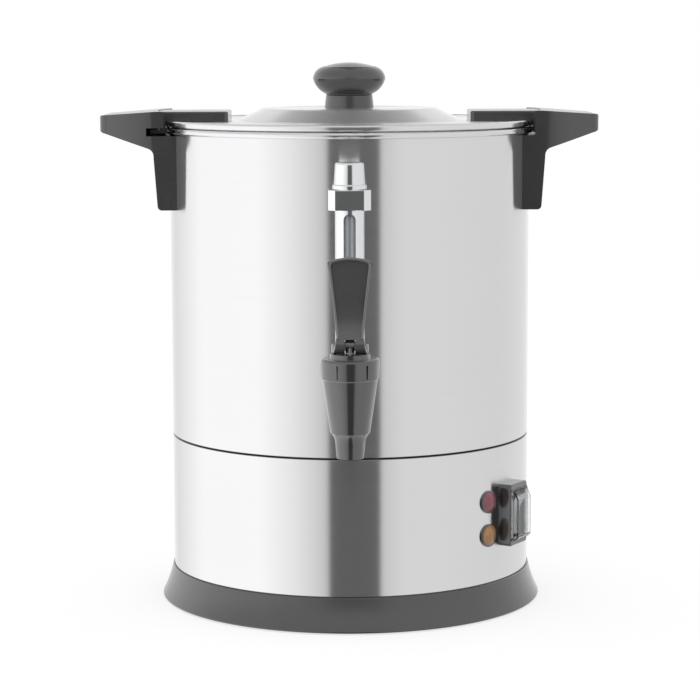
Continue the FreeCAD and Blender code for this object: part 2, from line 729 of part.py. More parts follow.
def tap_bonnet():
    """The screw-down bonnet with grip grooves, a raised ring on top and the stem's guide hole."""
    z = TAP_BODY_TOP
    taper = (BONNET_R - TAP_TOP_R) / BONNET_H
    shape = turned([
        (TAP_NECK_R + BONNET_CLEAR, z),
        (TAP_TOP_R + 0.1, z),
        (TAP_TOP_R + 0.5 + taper * 2, z + 0.6),
        (BONNET_R, BONNET_TOP - 2.0),
        ((BONNET_R - 0.5, BONNET_TOP - 0.5), (BONNET_R - 2.0, BONNET_TOP)),
        (11.2, BONNET_TOP),
        (10.9, BONNET_RING_TOP),
        (STEM_R + STEM_CLEAR, BONNET_RING_TOP),
        (STEM_R + STEM_CLEAR, BONNET_TOP - BONNET_LID),
        (TAP_NECK_R + BONNET_CLEAR, BONNET_TOP - BONNET_LID),
    ])
    groove = block((BONNET_R - 0.9, BONNET_R + 1), (-0.6, 0.6), (z + 1.5, BONNET_TOP - 2.6))
    shape = shape.cut(around(groove, 6, -115.0))
    shape.translate(V(0, TAP_Y, 0))
    return shape


def tap_stem():
    """The lift rod: seat end below, flat eye for the lever's pin above."""
    rod_part = ring(STEM_R, 0, SEAT_Z + 2.0, PIN_Z - 1.0, 0, TAP_Y)
    collar = ring(4.6, 0, SEAT_Z + RUN_GAP + CUP_H, SEAT_Z + RUN_GAP + CUP_H + 1.2, 0, TAP_Y)
    eye = rod(EYE_R, V(-EYE_HALF, TAP_Y, PIN_Z), V(EYE_HALF, TAP_Y, PIN_Z))
    hole = rod(LEVER_PIN_R + 0.05, V(-EYE_HALF, TAP_Y, PIN_Z), V(EYE_HALF, TAP_Y, PIN_Z))
    return joined(rod_part, collar, eye).cut(hole)


def tap_seat_cup():
    """The soft cup on the stem's foot that closes the spout."""
    z = SEAT_Z + RUN_GAP
    cup = turned([
        (0, z),
        (CUP_R - 1.2, z),
        ((CUP_R - 0.3, z + 0.4), (CUP_R, z + 1.4)),
        ((CUP_R - 2.4, z + 4.6), (STEM_R + 1.6, z + CUP_H - 1.0)),
        (STEM_R + 1.6, z + CUP_H),
        (STEM_R, z + CUP_H),
        (STEM_R, SEAT_Z + 2.0),
        (0, SEAT_Z + 2.0),
    ])
    cup.translate(V(0, TAP_Y, 0))
    return cup


def tap_spring():
    """The return spring between the stem's collar and the bonnet."""
    wire = 0.5
    low = SEAT_Z + RUN_GAP + CUP_H + 1.2 + 0.1 + wire
    high = BONNET_TOP - BONNET_LID - 0.1 - wire
    turns = 5
    coil_r = 3.9
    helix = Part.makeHelix((high - low) / turns, high - low, coil_r)
    start = Part.Wire(Part.makeCircle(wire, V(coil_r, 0, 0), V(0, 1, 0)))
    pipe = Part.BRepOffsetAPI.MakePipeShell(Part.Wire(helix))
    pipe.setFrenetMode(True)
    pipe.add(start)
    pipe.build()
    pipe.makeSolid()
    spring = pipe.shape()
    spring.translate(V(0, TAP_Y, low))
    return spring


def heel(turn):
    """A point of the lever's cam, where it meets the bonnet after a turn in degrees, from the pin."""
    t = math.radians(turn)
    drop = LEVER_PIN_UP + LIFT_PER_RADIAN * t
    along = -LIFT_PER_RADIAN * math.cos(t) - drop * math.sin(t)
    up = LIFT_PER_RADIAN * math.sin(t) - drop * math.cos(t)
    return (TAP_Y + along, PIN_Z + up)


def tap_lever():
    """The paddle lever: blade with a flat recess in its front, forked foot round the stem's eye, cam heel."""
    top = LEVER_Z + LEVER_H
    waist = LEVER_Z + 10.0
    front = prism("xz", [
        (-LEVER_FOOT_HALF, LEVER_Z - 1),
        (LEVER_FOOT_HALF, LEVER_Z - 1),
        ((LEVER_WAIST_HALF + 0.2, waist - 3.4), (LEVER_WAIST_HALF, waist)),
        ((LEVER_WAIST_HALF + 1.8, waist + 17), (LEVER_TOP_HALF, top - 3.6)),
        ((LEVER_TOP_HALF - 0.2, top - 2.7), (LEVER_TOP_HALF - 1.2, top - 2.0)),
        ((0, top), (-LEVER_TOP_HALF + 1.2, top - 2.0)),
        ((-LEVER_TOP_HALF + 0.2, top - 2.7), (-LEVER_TOP_HALF, top - 3.6)),
        ((-LEVER_WAIST_HALF - 1.8, waist + 17), (-LEVER_WAIST_HALF, waist)),
        ((-LEVER_WAIST_HALF - 0.2, waist - 3.4), (-LEVER_FOOT_HALF, LEVER_Z - 1)),
    ], TAP_Y - 30, TAP_Y + 30)
    flat = heel(0)
    tip = heel(LEVER_PULL_DEG)
    side = prism("yz", [
        (TAP_Y + 5.6, LEVER_Z),
        flat,
        (heel(LEVER_PULL_DEG / 2), tip),
        ((TAP_Y - 10.6, PIN_Z + 1.0), (TAP_Y - 9.4, PIN_Z + 3.4)),
        ((TAP_Y - 5.9, waist + 6.0), (TAP_Y - 5.4, waist + 14.0)),
        ((TAP_Y - 6.2, top - 16.0), (TAP_Y - 8.6, top - 0.6)),
        ((TAP_Y - 7.8, top), (TAP_Y - 6.6, top - 0.2)),
        ((TAP_Y - 2.6, top - 9.0), (TAP_Y + 1.2, waist + 16.0)),
        ((TAP_Y + 4.0, waist + 4.0), (TAP_Y + 5.6, LEVER_Z + 4.0)),
    ], -30, 30)
    blade = front.common(side)
    recess = lever_recess(waist, top)
    fork = block((-EYE_HALF - 0.3, EYE_HALF + 0.3), (TAP_Y - 20, TAP_Y + 20), (LEVER_Z - 1, PIN_Z + EYE_R + 0.4))
    pin_hole = rod(LEVER_PIN_R, V(-12, TAP_Y, PIN_Z), V(12, TAP_Y, PIN_Z))
    return blade.cut([recess, fork, pin_hole])


def lever_recess(waist, top):
    """The shallow pocket in the lever's front, which leaves an even rim round it."""
    low = waist + 3.0
    wide = LEVER_TOP_HALF - LEVER_RIM
    front = prism("xz", [
        (-LEVER_WAIST_HALF + 2.4, low),
        (LEVER_WAIST_HALF - 2.4, low),
        ((LEVER_WAIST_HALF + 0.5, waist + 18), (wide, top - 4.4)),
        ((0, top - LEVER_RIM - 0.3), (-wide, top - 4.4)),
        ((-LEVER_WAIST_HALF - 0.5, waist + 18), (-LEVER_WAIST_HALF + 2.4, low)),
    ], TAP_Y - 30, TAP_Y + 30)
    face = prism("yz", [
        (TAP_Y - 20, low - 1),
        (TAP_Y - 6.6, low - 1),
        ((TAP_Y - 4.6, waist + 12.0), (TAP_Y - 5.3, waist + 24.0)),
        (TAP_Y - 7.4, top),
        (TAP_Y - 20, top),
    ], -30, 30)
    return front.common(face)


def lever_pin():
    half = LEVER_WAIST_HALF - 0.4
    return rod(LEVER_PIN_R, V(-half, TAP_Y, PIN_Z), V(half, TAP_Y, PIN_Z))


def tee_front():
    """Where the gauge tee meets the tap's shoulder."""
    return GAUGE_Y - TEE_R - 0.5


def washer_out():
    """The outer face of the soft washer between the tee and the wall."""
    return -BODY_R - 2.2


def gauge_tee():
    """The tee on the tap's shank that feeds the gauge, with the socket for its tubes."""
    sleeve = rod(TEE_R, V(0, tee_front(), SHANK_Z), V(0, washer_out(), SHANK_Z))
    socket = ring(TEE_R - 0.4, 0, SHANK_Z, TEE_TOP, 0, GAUGE_Y)
    body = joined(sleeve, socket)
    body = softened(body, 0.8, at_height(TEE_TOP))
    shank = rod(SHANK_R + SHANK_CLEAR, V(0, tee_front(), SHANK_Z), V(0, washer_out(), SHANK_Z))
    well = ring(SHIELD_R, 0, TEE_LEDGE, TEE_TOP, 0, GAUGE_Y)
    port = ring(GLASS_R - GLASS_WALL, 0, SHANK_Z, TEE_LEDGE, 0, GAUGE_Y)
    return body.cut([shank, well, port])


def gauge_lower_seal():
    return ring(SHIELD_R, GLASS_R, TEE_LEDGE, TEE_LEDGE + SEAL_H, 0, GAUGE_Y)


def gauge_glass():
    """The sight glass, from the tee's ledge to the top of the block's neck."""
    return ring(GLASS_R, GLASS_R - GLASS_WALL, TEE_LEDGE, neck_top() - 0.4, 0, GAUGE_Y)


def neck_top():
    """The top of the threaded neck that the gauge cap screws on."""
    return BLOCK_TOP + 8.6


def gauge_shield():
    """The chrome guard tube, slotted at the front with a round-topped window."""
    low = TEE_LEDGE + SEAL_H
    tube = ring(SHIELD_R, SHIELD_R - SHIELD_WALL, low, BLOCK_Z + 3.0, 0, GAUGE_Y)
    slot_top = BLOCK_Z - 2.0 - SLOT_HALF
    slot = block((-SLOT_HALF, SLOT_HALF), (GAUGE_Y - 20, GAUGE_Y), (TEE_TOP + 3.0, slot_top))
    arch = rod(SLOT_HALF, V(0, GAUGE_Y - 20, slot_top), V(0, GAUGE_Y, slot_top))
    return tube.cut([slot, arch])


def gauge_block():
    """The block that holds the gauge's top to the wall, with its stud and the neck for the cap."""
    half = GAUGE_BLOCK_HALF
    body = prism("xy", [
        (-half, GAUGE_Y + 8.0),
        (-half, GAUGE_Y - 6.6),
        (-half + 3.9, GAUGE_Y - 10.2),
        ((0, GAUGE_Y - 10.5), (half - 3.9, GAUGE_Y - 10.2)),
        (half, GAUGE_Y - 6.6),
        (half, GAUGE_Y + 8.0),
        (7.0, GAUGE_Y + 11.0),
        (7.0, -BODY_R + 2.0),
        (-7.0, -BODY_R + 2.0),
        (-7.0, GAUGE_Y + 11.0),
    ], BLOCK_Z, BLOCK_TOP)
    body = body.cut(ring(BODY_R, 0, BLOCK_Z - 1, BLOCK_TOP + 1))
    body = softened(body, 0.4, lambda e: at_height(BLOCK_TOP)(e) or at_height(BLOCK_Z)(e))
    neck = ring(CAP_NECK_R, 0, BLOCK_TOP - 1, neck_top(), 0, GAUGE_Y)
    middle = block_middle()
    stud = rod(SCREW_R, V(0, -BODY_R - 3, middle), V(0, -IN_R + 7, middle))
    whole = joined(body, neck, stud)
    bore = ring(GLASS_R, 0, BLOCK_Z, neck_top(), 0, GAUGE_Y)
    socket = ring(SHIELD_R, 0, BLOCK_Z, BLOCK_Z + 3.0, 0, GAUGE_Y)
    return whole.cut([bore, socket])


def hex_nut(across, low, high, bore):
    """An upright hexagonal nut about Z."""
    corner = across / math.sqrt(3)
    turns = [math.radians(60 * i) for i in range(6)]
    shape = prism("xy", [(corner * math.cos(t), corner * math.sin(t)) for t in turns], low, high)
    crown = Part.makeCone(corner + (high - low), corner - 0.5, high - low, V(0, 0, low))
    return shape.common(crown).cut(ring(bore, 0, low, high))


def nut_on_wall(across, thick, bore, z, gap):
    """A nut inside the front wall, with a flat face towards the wall."""
    nut = hex_nut(across, 0, thick, bore)
    nut.rotate(V(), V(1, 0, 0), -90)
    nut.translate(V(0, -IN_R + gap, z))
    return nut


def gauge_nut():
    return nut_on_wall(8.0, 3.6, SCREW_R, block_middle(), 0.15)


def gauge_cap():
    """The chrome screw cap on the gauge, with a flange at its foot."""
    top = CAP_Z + CAP_H
    inner = CAP_NECK_R + CAP_THREAD_CLEAR
    cap = turned([
        (inner, CAP_Z),
        (CAP_R, CAP_Z),
        (CAP_R, CAP_Z + 1.7),
        ((CAP_R - 0.2, CAP_Z + 2.2), (CAP_R - 0.7, CAP_Z + 2.4)),
        (CAP_R - 0.9, CAP_Z + 2.6),
        (CAP_TOP_R + 0.1, top - 1.6),
        ((CAP_TOP_R - 0.4, top - 0.4), (CAP_TOP_R - 1.5, top)),
        (0, top),
        (0, top - 3.2),
        (inner, top - 3.2),
    ])
    cap.translate(V(0, GAUGE_Y, 0))
    return cap


def gauge_cap_seal():
    """The loose sealing disc inside the gauge cap."""
    low = neck_top() + RUN_GAP
    high = CAP_Z + CAP_H - 3.2 - RUN_GAP
    return ring(CAP_NECK_R - 0.2, 1.5, low, high, 0, GAUGE_Y)


def tap_washers():
    """Soft washers on both sides of the wall, moulded to its curve."""
    outer = rod(TEE_R + 0.6, V(0, washer_out(), SHANK_Z), V(0, -BODY_R + 2, SHANK_Z))
    outer = outer.cut(ring(BODY_R, 0, SHANK_Z - 20, SHANK_Z + 20))
    inner = rod(TEE_R + 0.6, V(0, -IN_R - 1, SHANK_Z), V(0, -IN_R + 2.6, SHANK_Z))
    inner = inner.common(ring(IN_R, 0, SHANK_Z - 20, SHANK_Z + 20))
    hole = rod(SHANK_R, V(0, washer_out() - 1, SHANK_Z), V(0, -IN_R + 10, SHANK_Z))
    return [outer.cut(hole), inner.cut(hole)]


def tap_nut():
    return nut_on_wall(23.0, 6.0, SHANK_R, SHANK_Z, 2.6)


def switch_bezel():
    """The raised black frame round the rocker, with a collar through the panel."""
    half_w = SWITCH_W / 2
    half_h = SWITCH_H / 2
    frame = block((BODY_R - 3, SWITCH_OUT), (-half_w, half_w), (SWITCH_Z - half_h, SWITCH_Z + half_h))
    frame = softened(frame, 2.0, lambda e: e.BoundBox.YLength < 0.01 and e.BoundBox.ZLength < 0.01)
    frame = softened(frame, 1.0, lambda e: e.BoundBox.XMin > SWITCH_OUT - 0.01)
    frame = frame.cut(ring(BODY_R, 0, SWITCH_Z - half_h - 1, SWITCH_Z + half_h + 1))
    collar = block((IN_R - 5, SWITCH_OUT - 2), (-half_w + 1.4, half_w - 1.4),
                   (SWITCH_Z - half_h + 1.6, SWITCH_Z + half_h - 1.6))
    window = block((IN_R - 6, SWITCH_OUT + 1), (-ROCKER_W / 2 - RUN_GAP, ROCKER_W / 2 + RUN_GAP),
                   (SWITCH_Z - ROCKER_H / 2 - 1.1, SWITCH_Z + ROCKER_H / 2 + 1.1))
    return swung(joined(frame, collar).cut(window), PANEL_TURN)


def switch_body():
    """The switch's contact box behind the panel, with four blade terminals."""
    half_w = SWITCH_W / 2 - 2.0
    half_h = SWITCH_H / 2 - 3.0
    back = IN_R - 20.0
    box = block((back, IN_R - 5), (-half_w, half_w), (SWITCH_Z - half_h, SWITCH_Z + half_h))
    blades = []
    for y in (-4.5, 4.5):
        for z in (-8.0, 8.0):
            blades.append(block((back - 7.5, back), (y - 0.4, y + 0.4), (SWITCH_Z + z - 3.1, SWITCH_Z + z + 3.1)))
    whole = joined(box, *blades)
    return swung(whole, PANEL_TURN)


def switch_rocker():
    """The rocker, resting tipped one way, with its pivot barrel at the back."""
    half = ROCKER_H / 2
    face = 2.8
    end = 4.6
    rocker = prism("xz", [
        (PIVOT_OUT - 1.6, SWITCH_Z - half + 0.6),
        (PIVOT_OUT + end - 0.6, SWITCH_Z - half),
        ((PIVOT_OUT + end - 0.1, SWITCH_Z - half + 0.2), (PIVOT_OUT + end, SWITCH_Z - half + 0.8)),
        ((PIVOT_OUT + face + 0.5, SWITCH_Z - 6.0), (PIVOT_OUT + face, SWITCH_Z)),
        ((PIVOT_OUT + face + 0.5, SWITCH_Z + 6.0), (PIVOT_OUT + end, SWITCH_Z + half - 0.8)),
        ((PIVOT_OUT + end - 0.1, SWITCH_Z + half - 0.2), (PIVOT_OUT + end - 0.6, SWITCH_Z + half)),
        (PIVOT_OUT - 1.6, SWITCH_Z + half - 0.6),
    ], -ROCKER_W / 2, ROCKER_W / 2)
    barrel = rod(2.6, V(PIVOT_OUT, -ROCKER_W / 2, SWITCH_Z), V(PIVOT_OUT, ROCKER_W / 2, SWITCH_Z))
    foot = block((PIVOT_OUT - 6.4, PIVOT_OUT), (-3.0, 3.0), (SWITCH_Z - 1.5, SWITCH_Z + 1.5))
    whole = joined(rocker, barrel, foot)
    whole.rotate(V(PIVOT_OUT, 0, SWITCH_Z), V(0, 1, 0), ROCKER_TILT)
    return swung(whole, PANEL_TURN)


def switch_splash_cover():
    """The clear soft cover over the rocker, with a sloping top."""
    out = SWITCH_OUT + SPLASH_OUT
    half = ROCKER_H / 2 + 2.2
    wide = ROCKER_W / 2 + 2.0
    def shell(inset):
        return prism("xz", [
            (SWITCH_OUT - 1, SWITCH_Z - half + inset),
            (out - 1.2 - inset, SWITCH_Z - half + inset),
            (out - inset, SWITCH_Z - half + 1.6 + inset),
            (out - inset, SWITCH_Z + half - 5.0 - inset),
            (out - 2.2 - inset, SWITCH_Z + half - inset),
            (SWITCH_OUT - 1, SWITCH_Z + half - inset),
        ], -wide + inset, wide - inset)
    outer = softened(shell(0.0), 1.0, lambda e: e.BoundBox.XMin > SWITCH_OUT + 0.5 and e.BoundBox.YLength < 0.01)
    lip = block((SWITCH_OUT, SWITCH_OUT + 0.8), (-wide - 0.8, wide + 0.8), (SWITCH_Z - half - 0.8, SWITCH_Z + half + 0.8))
    cover = joined(outer, lip).cut(shell(0.7))
    above = block((SWITCH_OUT, out + 1), (-wide - 2, wide + 2), (SWITCH_Z - half - 2, SWITCH_Z + half + 2))
    return swung(cover.common(above), PANEL_TURN)


def lamp_lens(up):
    """A domed indicator lens with a stub through the panel."""
    z = BASE_TOP + up
    lens = turned([
        (0, -6.0),
        (LAMP_R - 1.8, -6.0),
        (LAMP_R - 1.8, 0.5),
        (LAMP_R - 0.9, 0.5),
        (LAMP_R - 0.9, 1.2),
        dome(LAMP_R - 0.9, 1.2, 3.0),
    ])
    lens.rotate(V(), V(0, 1, 0), 90)
    lens.translate(V(BODY_R, 0, z))
    return swung(lens, LAMP_TURN)


def lamp_bezel(up):
    """The thin dark ring round a lens, seated on the curved wall."""
    z = BASE_TOP + up
    hoop = turned([
        (LAMP_R - 1.8, -1.2),
        (LAMP_R, -1.2),
        (LAMP_R, 0.7),
        ((LAMP_R - 0.2, 1.2), (LAMP_R - 0.7, 1.4)),
        (LAMP_R - 0.9, 1.4),
        (LAMP_R - 0.9, 0.5),
        (LAMP_R - 1.8, 0.5),
    ])
    hoop.rotate(V(), V(0, 1, 0), 90)
    hoop.translate(V(BODY_R, 0, z))
    return swung(hoop.cut(ring(BODY_R, 0, z - 20, z + 20)), LAMP_TURN)


def lamp_body(up):
    """The lamp's housing behind the panel, with its two leads' blades."""
    z = BASE_TOP + up
    can = rod(LAMP_R - 1.8, V(BODY_R - 20, 0, z), V(BODY_R - 6, 0, z))
    clip = rod(LAMP_R + 0.4, V(BODY_R - 7.6, 0, z), V(BODY_R - 6, 0, z))
    blades = [block((BODY_R - 26, BODY_R - 20), (y - 0.3, y + 0.3), (z - 1.4, z + 1.4)) for y in (-2.4, 2.4)]
    return swung(joined(can, clip, *blades), LAMP_TURN)


def cable_gland():
    """The cable entry at the back: a flanged sleeve with a rounded mouth."""
    sleeve = turned([
        (GLAND_BORE, -BODY_R - GLAND_OUT + 1.0),
        ((GLAND_BORE + 0.3, -BODY_R - GLAND_OUT + 0.3), (GLAND_BORE + 1.0, -BODY_R - GLAND_OUT)),
        (GLAND_R - 2.2, -BODY_R - GLAND_OUT),
        (GLAND_R - 0.6, -BODY_R - 3.0),
        (GLAND_R + 2.0, -BODY_R - 3.0),
        (GLAND_R + 2.0, -BODY_R + 1.0),
        (GLAND_R - 1.6, -BODY_R + 1.0),
        (GLAND_R - 1.6, -BODY_R + 12.0),
        (GLAND_BORE, -BODY_R + 12.0),
    ])
    sleeve.rotate(V(), V(1, 0, 0), 90)
    sleeve.translate(V(0, 0, GLAND_Z))
    outside = sleeve.cut(ring(BODY_R, 0, GLAND_Z - 30, GLAND_Z + 30))
    inside = sleeve.common(rod(GLAND_R - 1.6, V(0, BODY_R - 30, GLAND_Z), V(0, BODY_R + 2, GLAND_Z)))
    return joined(outside, inside)


def gland_nut():
    """The nut that clamps the gland from inside, seated on the curved wall."""
    nut = hex_nut(19.0, 0, 5.0, GLAND_R - 1.6)
    nut.rotate(V(), V(1, 0, 0), 90)
    nut.translate(V(0, IN_R - 0.4, GLAND_Z))
    return nut.common(ring(IN_R, 0, GLAND_Z - 20, GLAND_Z + 20))


def heat_plate():
    """The aluminium plate that spreads the heat under the floor."""
    plate = ring(PLATE_R, WELL_R + 2 * STEEL + 0.4, PLATE_Z, FLOOR_Z)
    return plate.cut(stud_shanks())


def stud_shanks():
    one = ring(STUD_R, 0, CLAMP_Z - 5.5, FLOOR_Z, STUD_PCR, 0)
    return around(one, 3)


def element(radius, tube, gap_turn):
    """A heating element bent into an open ring, with two cold ends turned down."""
    sweep = 300.0
    z = PLATE_Z - tube
    torus = Part.makeTorus(radius, tube, V(0, 0, z), UP, -180, 180, sweep)
    torus = swung(torus, gap_turn)
    ends = []
    for turn in (gap_turn, gap_turn + sweep):
        t = math.radians(turn)
        ends.append(ring(tube * 0.85, 0, CLAMP_Z - 9.0, z, radius * math.cos(t), radius * math.sin(t)))
        ball = Part.makeSphere(tube, V(radius * math.cos(t), radius * math.sin(t), z))
        ends.append(ball)
    return joined(torus, *ends)


def clamp_plate():
    """The steel ring that clamps the elements up to the heat plate."""
    low = CLAMP_Z
    high = CLAMP_Z + CLAMP_T
    plate = ring(PLATE_R, WELL_R + 3.0, low, high)
    cuts = stud_shanks()
    for radius, tube, gap_turn in element_layout():
        for turn in (gap_turn, gap_turn + 300.0):
            t = math.radians(turn)
            cuts.append(ring(tube, 0, low - 1, high + 1, radius * math.cos(t), radius * math.sin(t)))
    return plate.cut(cuts)


def element_layout():
    """Radius, tube radius and start turn of the brewing and the keep-warm element."""
    return [(BREW_R, BREW_TUBE, 30.0), (WARM_R, WARM_TUBE, 30.0)]


def clamp_nuts():
    nut = hex_nut(7.0, CLAMP_Z - 3.2, CLAMP_Z, STUD_R)
    nut.translate(V(STUD_PCR, 0, 0))
    return around(nut, 3)


def thermostat(turn):
    """A disc thermostat under the clamp plate, with two blades."""
    can = ring(THERMOSTAT_R, 0, CLAMP_Z - 5.5, CLAMP_Z, STUD_PCR, 0)
    blades = []
    for y in (-4.0, 4.0):
        blades.append(block((STUD_PCR - 3.0, STUD_PCR + 3.0), (y - 0.4, y + 0.4), (CLAMP_Z - 14.0, CLAMP_Z - 5.5)))
    return swung(joined(can, *blades), turn)


def terminal_block():
    """The mains terminal block on the bottom cover, with three clamp screws."""
    box = block((-16, 16), (62, 78), (FLANGE_Z, FLANGE_Z + 12))
    box = softened(box, 1.0, at_height(FLANGE_Z + 12))
    wells = [rod(2.4, V(x, 70, FLANGE_Z + 7), V(x, 70, FLANGE_Z + 13)) for x in (-10, 0, 10)]
    ports = [rod(WIRE_R + 0.2, V(x, y, FLANGE_Z + 5), V(x, 70 + (y - 70) * 0.4, FLANGE_Z + 5))
             for x in (-10, 0, 10) for y in (61.9, 78.1)]
    return box.cut(wells + ports)


def wire_run(points, radius=WIRE_R, bend=7.0):
    """A lead along straight runs with round bends."""
    edges = []
    start = points[0]
    for before, corner, after in zip(points, points[1:], points[2:]):
        inward = (before - corner).normalize()
        outward = (after - corner).normalize()
        turn = math.pi - inward.getAngle(outward)
        cut = min(bend * math.tan(turn / 2), 0.45 * min((before - corner).Length, (after - corner).Length))
        real = cut / math.tan(turn / 2)
        first = corner + inward * cut
        last = corner + outward * cut
        way = (inward + outward).normalize()
        middle = corner + way * (real / math.cos(turn / 2) - real)
        edges.append(Part.makeLine(start, first))
        edges.append(Part.Arc(first, middle, last).toShape())
        start = last
    edges.append(Part.makeLine(start, points[-1]))
    path = Part.Wire(edges)
    section = Part.Wire(Part.makeCircle(radius, points[0], points[1] - points[0]))
    return path.makePipeShell([section], True, True)


def polar(radius, turn, z):
    """A point at a radius, a turn in degrees from +X and a height."""
    t = math.radians(turn)
    return V(radius * math.cos(t), radius * math.sin(t), z)


def wiring():
    """The leads between the terminal block, switch, lamps, thermostats and elements."""
    z = FLANGE_Z + 5
    blade = IN_R - 27.5
    switch = PANEL_TURN
    low = SWITCH_Z - 8.0
    high = SWITCH_Z + 8.0
    side = math.degrees(4.5 / blade)
    ends = CLAMP_Z - 9.0
    thermo = CLAMP_Z - 14.0
    leads = [
        [V(10, 63.6, z), V(10, 48, z), polar(66, 10, 24), polar(62, switch + 4, low), polar(blade, switch + side, low)],
        [V(-10, 63.6, z), V(-10, 46, z), V(-14, 30, 30), polar(40, 148, 52), polar(STUD_PCR, 166, thermo - 14),
         polar(STUD_PCR + 0.3, 174, thermo)],
        [polar(blade, switch + side, high), polar(60, switch + 3, high), polar(46, 20, high), polar(BREW_R, 30, ends - 14),
         polar(BREW_R, 30, ends)],
        [polar(BODY_R - 26, LAMP_TURN + 1.6, BASE_TOP + LAMP_UPPER_UP), polar(70, LAMP_TURN, BASE_TOP + LAMP_UPPER_UP),
         polar(56, -20, 76), polar(STUD_PCR, -56, thermo - 8), polar(STUD_PCR, -54.2, thermo)],
        [polar(BODY_R - 26, LAMP_TURN + 1.6, BASE_TOP + LAMP_LOWER_UP), polar(66, LAMP_TURN - 6, BASE_TOP + LAMP_LOWER_UP),
         polar(50, -62, 64), polar(STUD_PCR + 1, -68, thermo - 8), polar(STUD_PCR, -65.8, thermo)],
    ]
    return [wire_run(points) for points in leads]


def pump_foot_radius():
    return WELL_R - 1.6


def pump_tube():
    """The percolator tube with the collar that the basket sits on."""
    tube = ring(PUMP_R, 0, WELL_Z + STEEL + 7.0, PUMP_TOP)
    collar = turned([
        (PUMP_R, BASKET_Z - 3.0),
        (PUMP_R + 3.0, BASKET_Z),
        (0, BASKET_Z),
        (0, BASKET_Z - 3.0),
    ])
    bore = ring(PUMP_BORE, 0, WELL_Z + STEEL + 7.0, PUMP_TOP)
    return joined(tube, collar).cut(bore)


def pump_foot():
    """The bell foot in the well, which catches the steam, with a valve bore and notches at its edge."""
    z = WELL_Z + STEEL
    r = pump_foot_radius()
    bell = turned([
        (r, z),
        (r, z + 1.6),
        (PUMP_R + 5.0, z + 7.0),
        (PUMP_R + 3.0, z + 12.0),
        (PUMP_R, z + 12.0),
        (PUMP_R, z + 7.0),
        (PUMP_BORE, z + 7.0),
        (PUMP_BORE, z + 5.4),
        (PUMP_R + 4.0, z + 5.4),
        (r - 1.4, z + 1.0),
        (r - 1.4, z),
    ])
    notch = block((r - 4, r + 1), (-1.5, 1.5), (z, z + 0.8))
    return bell.cut(around(notch, 4, 45))


def sieve_holes(radii, size, low, high):
    """Round holes on rings about the axis."""
    holes = []
    for radius in radii:
        count = max(6, int(2 * math.pi * radius / 11.0))
        holes += around(ring(size, 0, low, high, radius, 0), count, radius)
    return holes


def brew_basket():
    """The coffee basket: a steel cup with a sieve floor and a sleeve round the pump tube."""
    z = BASKET_Z
    cup = turned([
        (PUMP_R + 0.3, z),
        (BASKET_R - 2.0, z),
        ((BASKET_R - 0.6, z + 0.6), (BASKET_R, z + 2.0)),
        (BASKET_R, BASKET_TOP - 1.0),
        (BASKET_R + 1.6, BASKET_TOP - 1.0),
        (BASKET_R + 1.6, BASKET_TOP),
        (BASKET_R - BASKET_T, BASKET_TOP),
        (BASKET_R - BASKET_T, z + 2.2),
        (BASKET_R - 2.2, z + BASKET_T),
        (PUMP_R + 1.3, z + BASKET_T),
        (PUMP_R + 1.3, z + 10.0),
        (PUMP_R + 0.3, z + 10.0),
    ])
    return cup.cut(sieve_holes((14.0, 24.0, 34.0, 44.0), 1.3, z - 1, z + 2))


def basket_cover():
    """The spreader plate on the basket, with drip holes and a raised middle."""
    z = BASKET_TOP
    plate = turned([
        (PUMP_R + 0.3, z + SPREADER_H),
        (14.0, z + SPREADER_H),
        (20.0, z + BASKET_T),
        (BASKET_R + 1.6, z + BASKET_T),
        (BASKET_R + 1.6, z),
        (19.6, z),
        (13.6, z + SPREADER_H - BASKET_T),
        (PUMP_R + 0.3, z + SPREADER_H - BASKET_T),
    ])
    return plate.cut(sieve_holes((27.0, 37.0, 46.0), 1.4, z - 1, z + 2))


